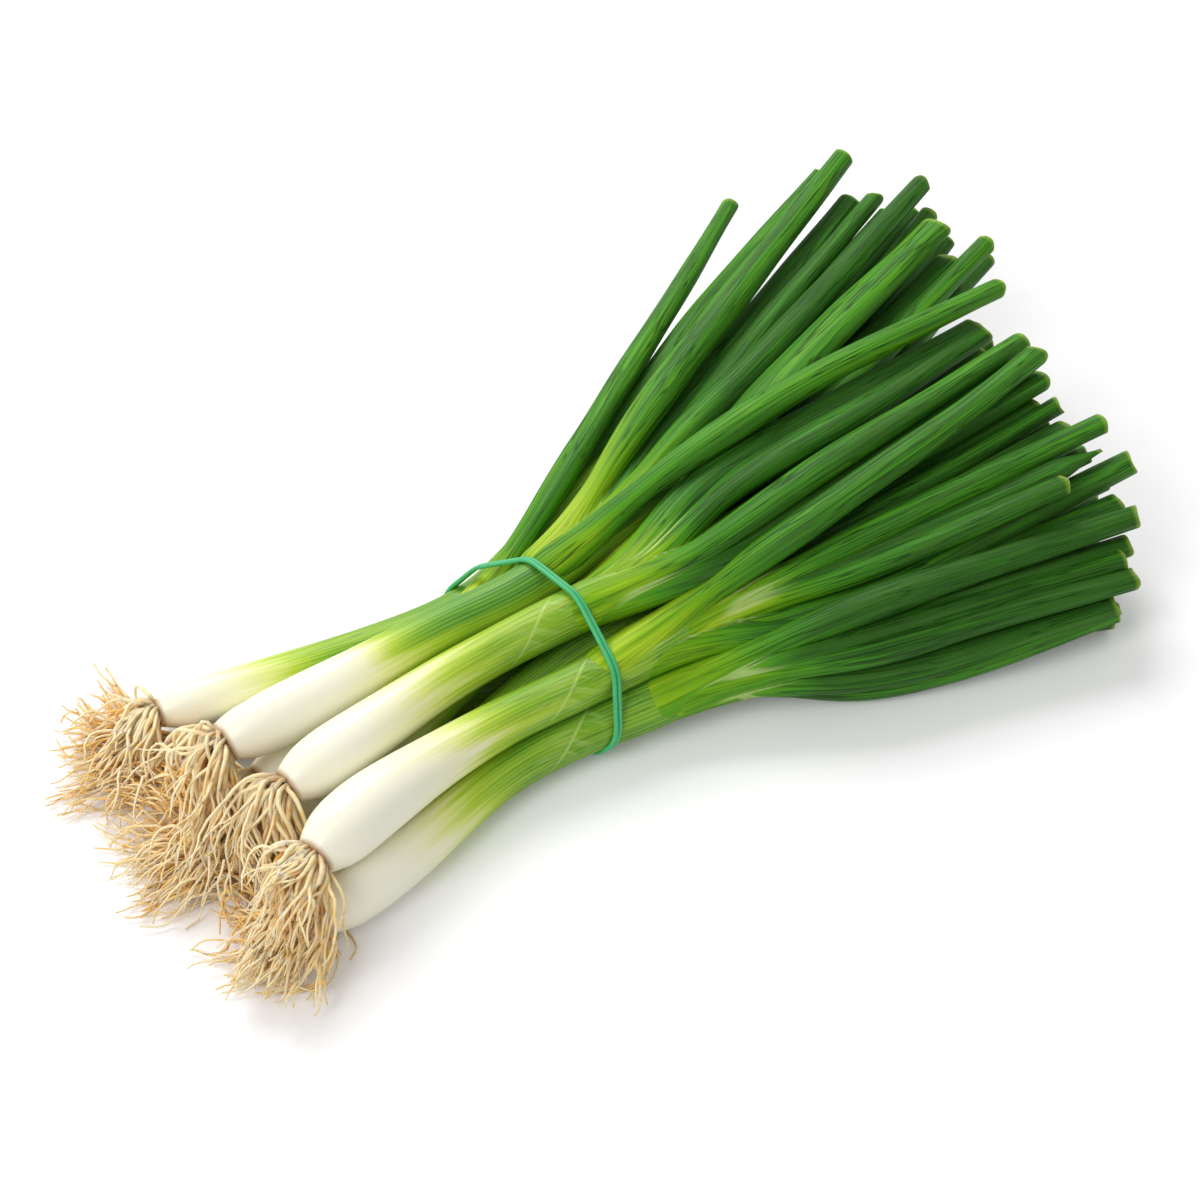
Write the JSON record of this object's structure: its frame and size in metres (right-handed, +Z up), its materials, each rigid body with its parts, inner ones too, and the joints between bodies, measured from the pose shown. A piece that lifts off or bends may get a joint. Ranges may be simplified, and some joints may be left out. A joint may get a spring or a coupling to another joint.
{
  "type": "spring onion bunch",
  "caption": "Bunch of spring onions lying flat: white bulbs with trimmed roots, green tubular leaves cut to one length, tied round the middle with a doubled rubber band.",
  "frame": {"origin": "middle of the bounding box, on the surface that the bunch lies on", "axes": "+X along the bunch, from the roots to the cut leaves; +Y across it, to the side of the widest leaves; +Z up from the surface"},
  "size_m": [0.3428, 0.2108, 0.0654],
  "materials": {
    "stem": "smooth moist onion skin, white at the bulb and turning green along the shaft",
    "leaf": "satin green leaf with fine ribs along it and a thin grey wax bloom",
    "roots": "dry straw-coloured root fibres",
    "band": "satin green rubber"
  },
  "bodies": {
    "root": {"onion_1_stem": "stem", "onion_2_stem": "stem", "onion_3_stem": "stem", "onion_4_stem": "stem", "onion_5_stem": "stem", "onion_6_stem": "stem", "onion_7_stem": "stem", "onion_8_stem": "stem", "onion_9_stem": "stem", "onion_1_leaf_1": "leaf", "onion_1_leaf_2": "leaf", "onion_1_leaf_3": "leaf", "onion_1_leaf_4": "leaf", "onion_1_leaf_5": "leaf", "onion_2_leaf_1": "leaf", "onion_2_leaf_2": "leaf", "onion_2_leaf_3": "leaf", "onion_2_leaf_4": "leaf", "onion_3_leaf_1": "leaf", "onion_3_leaf_2": "leaf", "onion_3_leaf_3": "leaf", "onion_3_leaf_4": "leaf", "onion_4_leaf_1": "leaf", "onion_4_leaf_2": "leaf", "onion_4_leaf_3": "leaf", "onion_4_leaf_4": "leaf", "onion_5_leaf_1": "leaf", "onion_5_leaf_2": "leaf", "onion_5_leaf_3": "leaf", "onion_5_leaf_4": "leaf", "onion_6_leaf_1": "leaf", "onion_6_leaf_2": "leaf", "onion_6_leaf_3": "leaf", "onion_6_leaf_4": "leaf", "onion_7_leaf_1": "leaf", "onion_7_leaf_2": "leaf", "onion_7_leaf_3": "leaf", "onion_7_leaf_4": "leaf", "onion_8_leaf_1": "leaf", "onion_8_leaf_2": "leaf", "onion_8_leaf_3": "leaf", "onion_8_leaf_4": "leaf", "onion_9_leaf_1": "leaf", "onion_9_leaf_2": "leaf", "onion_9_leaf_3": "leaf", "onion_1_roots": "roots", "onion_2_roots": "roots", "onion_3_roots": "roots", "onion_4_roots": "roots", "onion_5_roots": "roots", "onion_6_roots": "roots", "onion_7_roots": "roots", "onion_8_roots": "roots", "onion_9_roots": "roots", "rubber_band": "band"}
  },
  "joints": []
}
